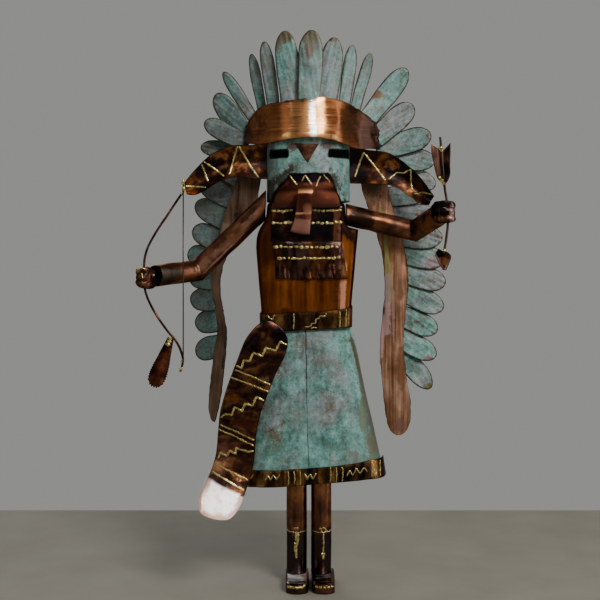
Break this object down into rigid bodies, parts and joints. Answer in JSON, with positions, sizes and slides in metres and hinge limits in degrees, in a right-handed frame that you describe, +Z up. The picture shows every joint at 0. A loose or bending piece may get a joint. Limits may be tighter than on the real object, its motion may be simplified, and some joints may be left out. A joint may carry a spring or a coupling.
{
  "type": "metal kachina sculpture",
  "caption": "Standing masked dancer of bent and brazed copper with a feathered headdress, horns, bow and arrow; a decorative figure that stands on its own boots.",
  "frame": {"origin": "on the surface it stands on, under the middle of the figure's overall plan", "axes": "+Z up; the figure faces -Y; +X is toward the hand that holds the arrow, -X toward the hand that holds the bow"},
  "size_m": [0.4254, 0.1536, 0.7583],
  "materials": {
    "arm_copper": "dark red-brown copper pipe",
    "arrow_copper": "brown copper",
    "beard_red": "red-brown copper",
    "belt_torched": "torch-coloured copper, black, brown and orange",
    "boot_brown": "dark brown heat patina, polished on top",
    "bow_rod": "dark brown rod",
    "bowstring_wire": "dark wire",
    "breast_torched": "dark red-brown torched copper",
    "feather_verdigris": "pale blue-green verdigris with dark rims",
    "fringe_torched": "dark red-brown torched copper",
    "hand_copper": "dark brown copper",
    "headband_copper": "polished orange copper",
    "hem_torched": "torch-coloured copper, black, brown and orange",
    "horn_torched": "torch-coloured copper, black, brown and orange",
    "leg_brown": "dark red-brown copper pipe",
    "mask_verdigris": "pale blue-green verdigris",
    "sash_torched": "torch-coloured copper, polished below its last line",
    "skirt_verdigris": "matt blue-green verdigris over copper",
    "tongue_copper": "pinkish brown copper",
    "torso_copper": "orange-brown lacquered copper",
    "trailer_copper": "brown copper with heat tints"
  },
  "bodies": {
    "root": {"arm_arrow_side": "arm_copper", "arm_bow_side": "arm_copper", "arrow": "arrow_copper", "arrow_side_feather_1": "feather_verdigris", "arrow_side_feather_2": "feather_verdigris", "arrow_side_feather_3": "feather_verdigris", "arrow_side_feather_4": "feather_verdigris", "arrow_side_feather_5": "feather_verdigris", "arrow_side_feather_6": "feather_verdigris", "arrow_side_feather_7": "feather_verdigris", "arrow_side_feather_8": "feather_verdigris", "arrow_side_feather_9": "feather_verdigris", "beard": "beard_red", "belt": "belt_torched", "boot_arrow_side": "boot_brown", "boot_bow_side": "boot_brown", "bow": "bow_rod", "bow_feather": "feather_verdigris", "bow_side_feather_1": "feather_verdigris", "bow_side_feather_2": "feather_verdigris", "bow_side_feather_3": "feather_verdigris", "bow_side_feather_4": "feather_verdigris", "bow_side_feather_5": "feather_verdigris", "bow_side_feather_6": "feather_verdigris", "bow_side_feather_7": "feather_verdigris", "bow_side_feather_8": "feather_verdigris", "bowstring": "bowstring_wire", "breastplate_fringe": "fringe_torched", "breastplate_upper": "breast_torched", "crown_feather_01": "feather_verdigris", "crown_feather_02": "feather_verdigris", "crown_feather_03": "feather_verdigris", "crown_feather_04": "feather_verdigris", "crown_feather_05": "feather_verdigris", "crown_feather_06": "feather_verdigris", "crown_feather_07": "feather_verdigris", "crown_feather_08": "feather_verdigris", "crown_feather_09": "feather_verdigris", "crown_feather_10": "feather_verdigris", "crown_feather_11": "feather_verdigris", "crown_feather_12": "feather_verdigris", "crown_feather_13": "feather_verdigris", "crown_feather_14": "feather_verdigris", "crown_feather_15": "feather_verdigris", "crown_feather_16": "feather_verdigris", "hand_arrow_side": "hand_copper", "hand_bow_side": "hand_copper", "headband": "headband_copper", "hem_band": "hem_torched", "horn_arrow_side": "horn_torched", "horn_bow_side": "horn_torched", "leg_arrow_side": "leg_brown", "leg_bow_side": "leg_brown", "mask": "mask_verdigris", "sash": "sash_torched", "skirt": "skirt_verdigris", "tongue": "tongue_copper", "torso": "torso_copper", "trailer_arrow_side": "trailer_copper", "trailer_bow_side": "trailer_copper"}
  },
  "joints": []
}
